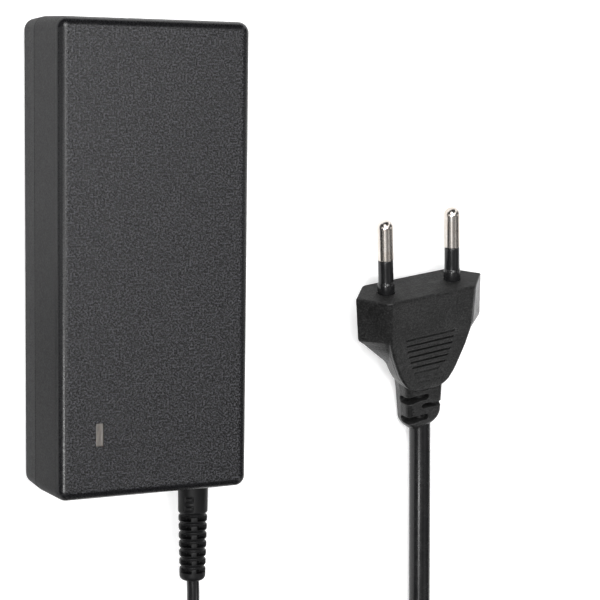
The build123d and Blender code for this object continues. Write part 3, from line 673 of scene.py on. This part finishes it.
def strap_cloth():
    """Hook-and-loop tape: dense loops, dull and slightly dusty."""
    m, nt, b, co = nodes_of("strap_cloth")
    loops = nt.nodes.new("ShaderNodeTexVoronoi")
    loops.inputs["Scale"].default_value = 1.0 / 0.00042
    nt.links.new(co.outputs["Object"], loops.inputs["Vector"])
    fuzz = noise(nt, co, 1.0 / 0.00025, 4.0, 0.7)
    nt.links.new(ramp(nt, fuzz, [(0.3, (0.010, 0.010, 0.011)), (0.75, (0.035, 0.035, 0.037))]), b.inputs["Base Color"])
    b.inputs["Roughness"].default_value = 0.92
    b.inputs["Specular IOR Level"].default_value = 0.2
    b.inputs["Sheen Weight"].default_value = 0.25
    b.inputs["Sheen Roughness"].default_value = 0.5
    n1 = bump(nt, loops.outputs["Distance"], 0.16 * MM, 0.9)
    nt.links.new(bump(nt, fuzz, 0.07 * MM, 0.8, n1), b.inputs["Normal"])
    return m


def light_pipe_plastic():
    """Frosted translucent polycarbonate, streaked along its length by the mould."""
    m, nt, b, co = nodes_of("light_pipe_plastic")
    st = noise(nt, co, 1.0 / 0.0005, 3.0, 0.6, (1.0, 0.16, 1.0))
    nt.links.new(ramp(nt, st, [(0.3, (0.070, 0.063, 0.057)), (0.7, (0.135, 0.123, 0.112))]), b.inputs["Base Color"])
    nt.links.new(spread(nt, noise(nt, co, 1.0 / 0.0008, 3.0, 0.6), 0.25, 0.45), b.inputs["Roughness"])
    b.inputs["Specular IOR Level"].default_value = 0.5
    b.inputs["Subsurface Weight"].default_value = 0.15
    b.inputs["Subsurface Scale"].default_value = 0.001
    nt.links.new(bump(nt, st, 0.02 * MM), b.inputs["Normal"])
    return m


def board_mask():
    """Green solder mask over faint copper areas."""
    m, nt, b, co = nodes_of("board_mask")
    v = nt.nodes.new("ShaderNodeTexVoronoi")
    v.distance = "MANHATTAN"
    v.inputs["Scale"].default_value = 1.0 / 0.005
    nt.links.new(co.outputs["Object"], v.inputs["Vector"])
    nt.links.new(ramp(nt, v.outputs["Distance"], [(0.35, (0.010, 0.085, 0.030)), (0.5, (0.022, 0.15, 0.055))]), b.inputs["Base Color"])
    nt.links.new(spread(nt, noise(nt, co, 1.0 / 0.002, 3.0), 0.25, 0.45), b.inputs["Roughness"])
    nt.links.new(bump(nt, v.outputs["Distance"], 0.02 * MM), b.inputs["Normal"])
    return m


def wound(name, base, pitch, rough, axis):
    """Turns of wire or tape: fine ridges across one axis, with painted shade darkening the grooves between turns."""
    m, nt, b, co = nodes_of(name)
    w = nt.nodes.new("ShaderNodeTexWave")
    w.bands_direction = axis
    w.inputs["Scale"].default_value = 0.314 / (pitch * MM)
    w.inputs["Distortion"].default_value = 0.6
    w.inputs["Detail"].default_value = 1.0
    nt.links.new(co.outputs["Object"], w.inputs["Vector"])
    # painted shade: low wave values, the grooves between turns, are coloured down to 0.55 of the base colour
    nt.links.new(ramp(nt, w.outputs["Fac"], [(0.1, scale_rgb(base, 0.55)), (0.6, base)]), b.inputs["Base Color"])
    nt.links.new(spread(nt, noise(nt, co, 1.0 / 0.002, 3.0), rough, rough + 0.15), b.inputs["Roughness"])
    nt.links.new(bump(nt, w.outputs["Fac"], pitch * 0.25 * MM), b.inputs["Normal"])
    return m


CASE_BASE = (0.0048, 0.0048, 0.0055)
PLUG_BASE = (0.0080, 0.0080, 0.0080)
M = {}
M["case"] = case_plastic()
M["cord"] = moulded("cord_jacket", (0.0085, 0.0085, 0.009), rough=0.24, spec=0.34, grain=1.4, depth=0.004, fine=0.15, fine_depth=0.002, mottle=0.15)
M["moulding"] = plug_plastic()
M["sleeve"] = moulded("pin_sleeve_plastic", (0.008, 0.008, 0.0085), rough=0.22, spec=0.4, grain=0.8, depth=0.006, fine=0.15, fine_depth=0.002)
M["relief"] = moulded("soft_relief", (0.0052, 0.0052, 0.0056), rough=0.46, spec=0.17, grain=0.6, depth=0.008, fine=0.15, fine_depth=0.003)
M["nickel"] = metal("nickel_plate", (0.62, 0.585, 0.55), rough=0.2, streak=0.05, along=(3, 0.3, 3), relief=0.0006, tarnish=(0.57, 0.51, 0.455))
M["pin_metal"] = metal("inlet_pin_nickel", (0.78, 0.76, 0.73), rough=0.14, streak=0.1, along=(3, 0.3, 3))
M["strap"] = strap_cloth()
M["light_pipe"] = light_pipe_plastic()
M["board"] = board_mask()
M["paper"] = moulded("insulating_sheet", (0.55, 0.52, 0.44), rough=0.7, spec=0.3, grain=0.8, depth=0.02, mottle=0.05)
M["inlet"] = moulded("inlet_plastic", (0.014, 0.014, 0.0145), rough=0.42, grain=0.5, depth=0.012)
M["led"] = moulded("led_epoxy", (0.45, 0.62, 0.45), rough=0.12, grain=2.0, depth=0.004, fine_depth=0.001)
M["ceramic"] = moulded("dipped_ceramic", (0.06, 0.16, 0.42), rough=0.28, grain=1.2, depth=0.02, fine_depth=0.002)
M["film_box"] = moulded("film_capacitor_box", (0.62, 0.40, 0.06), rough=0.35, grain=1.0, depth=0.01)
M["ferrite"] = moulded("sintered_ferrite", (0.045, 0.045, 0.048), rough=0.6, grain=0.25, depth=0.03, fine=0.1, fine_depth=0.01)
M["copper"] = wound("enamelled_wire", (0.62, 0.27, 0.10), 0.6, 0.25, "Z")
M["epoxy"] = moulded("moulded_epoxy", (0.018, 0.018, 0.018), rough=0.4, grain=0.3, depth=0.015)
M["can"] = moulded("capacitor_sleeve", (0.035, 0.045, 0.16), rough=0.3, grain=1.5, depth=0.008, fine_depth=0.001)
M["heatsink"] = metal("rolled_aluminium", (0.72, 0.72, 0.74), rough=0.3, streak=0.15, along=(1, 0.1, 1))
M["tape"] = wound("winding_tape", (0.72, 0.50, 0.07), 3.2, 0.3, "Y")
M["contact"] = metal("contact_brass", (0.75, 0.58, 0.28), rough=0.22, streak=0.12, along=(0.3, 1, 1))
M["insulator"] = moulded("barrel_insulator", (0.012, 0.012, 0.012), rough=0.35, grain=0.5, depth=0.01)

mains_cord.data.materials.append(M["cord"])
dc_cord.data.materials.append(M["cord"])
plug.data.materials.append(M["moulding"])
sleeves.data.materials.append(M["sleeve"])
relief.data.materials.append(M["relief"])
pipe.data.materials.append(M["light_pipe"])
mains_strap.data.materials.append(M["strap"])
dc_strap.data.materials.append(M["strap"])

slot_of = {s["node"]: s["material_slot"] for s in frame["record"]["subparts"]}
for name, ob in NODES.items():
    mat = M[slot_of[name]]
    if not ob.material_slots:
        ob.data.materials.append(mat)
    for s in ob.material_slots:
        s.material = mat


# ------------------------------------------------------------------ floor and light
def floor():
    me = bpy.data.meshes.new("floor")
    s = 3.0
    me.from_pydata([(-s, -s, -0.0002), (s, -s, -0.0002), (s, s, -0.0002), (-s, s, -0.0002)], [], [(0, 1, 2, 3)])
    ob = bpy.data.objects.new("floor", me)
    bpy.context.scene.collection.objects.link(ob)
    m, nt, b, co = nodes_of("floor_white")
    n = noise(nt, co, 8.0)
    nt.links.new(ramp(nt, n, [(0.3, (0.90, 0.90, 0.90)), (0.7, (0.92, 0.92, 0.92))]), b.inputs["Base Color"])
    b.inputs["Roughness"].default_value = 0.9
    b.inputs["Specular IOR Level"].default_value = 0.1
    b.inputs["Emission Color"].default_value = (1.0, 1.0, 1.0, 1.0)
    b.inputs["Emission Strength"].default_value = 0.3
    me.materials.append(m)


floor()


def softbox(name, tilt, bearing, strength, size=0.2):
    """Round soft light 0.6 m from the adapter, tilt degrees from straight above, facing it."""
    l = bpy.data.lights.new(name, "AREA")
    l.shape = "DISK"
    l.size = size
    l.energy = strength * math.pi * math.pi * (size / 2) ** 2
    th, ph = math.radians(tilt), math.radians(bearing)
    d = Vector((math.sin(th) * math.cos(ph), math.sin(th) * math.sin(ph), math.cos(th)))
    ob = bpy.data.objects.new(name, l)
    bpy.context.scene.collection.objects.link(ob)
    ob.location = Vector((0.03, -0.01, 0.0)) + d * 0.6
    ob.rotation_mode = "QUATERNION"
    ob.rotation_quaternion = (-d).to_track_quat("-Z", "Y")


for tilt, bearing, strength, size in (
    (0, 0, 3.0, 0.2), (7, 175, 14.0, 0.13), (18, 0, 1.2, 0.2), (18, 60, 4.2, 0.2), (18, 120, 6.5, 0.2), (20, 180, 3.2, 0.2), (18, 240, 0.4, 0.2),
    (36, 45, 2.3, 0.2), (36, 180, 1.6, 0.2), (36, 206, 27.0, 0.14), (43, 235, 1.0, 0.26), (33, 270, 0.3, 0.26), (40, 316, 0.5, 0.26),
    (54, 45, 1.2, 0.2), (58, 0, 1.2, 0.2), (54, 180, 1.2, 0.2), (54, 315, 2.2, 0.2), (50, 338, 0.1, 0.2), (66, 338, 0.1, 0.2),
    (70, 45, 1.2, 0.2), (70, 180, 1.8, 0.2), (70, 225, 0.8, 0.2), (70, 270, 1.0, 0.2), (70, 315, 2.0, 0.2), (84, 0, 1.4, 0.2), (84, 45, 2.0, 0.2),
):
    softbox("soft_%02d_%03d" % (tilt, bearing), tilt, bearing, strength, size)

# one lamp close to the upper left end, so the light falls off along the case
near = bpy.data.lights.new("near_lamp", "AREA")
near.shape = "DISK"
near.size = 0.12
near.energy = 11.0 * math.pi * math.pi * 0.06 ** 2
near_ob = bpy.data.objects.new("near_lamp", near)
bpy.context.scene.collection.objects.link(near_ob)
near_ob.location = (-0.06, 0.15, 0.23)
near_ob.rotation_mode = "QUATERNION"
near_ob.rotation_quaternion = (Vector((-0.01, 0.03, 0.02)) - near_ob.location).to_track_quat("-Z", "Y")

w = bpy.data.worlds.new("studio")
bpy.context.scene.world = w
w.use_nodes = True
bg = w.node_tree.nodes["Background"]
bg.inputs["Color"].default_value = (0.8, 0.8, 0.82, 1)
bg.inputs["Strength"].default_value = 0.03
bpy.context.scene.view_settings.view_transform = "Standard"
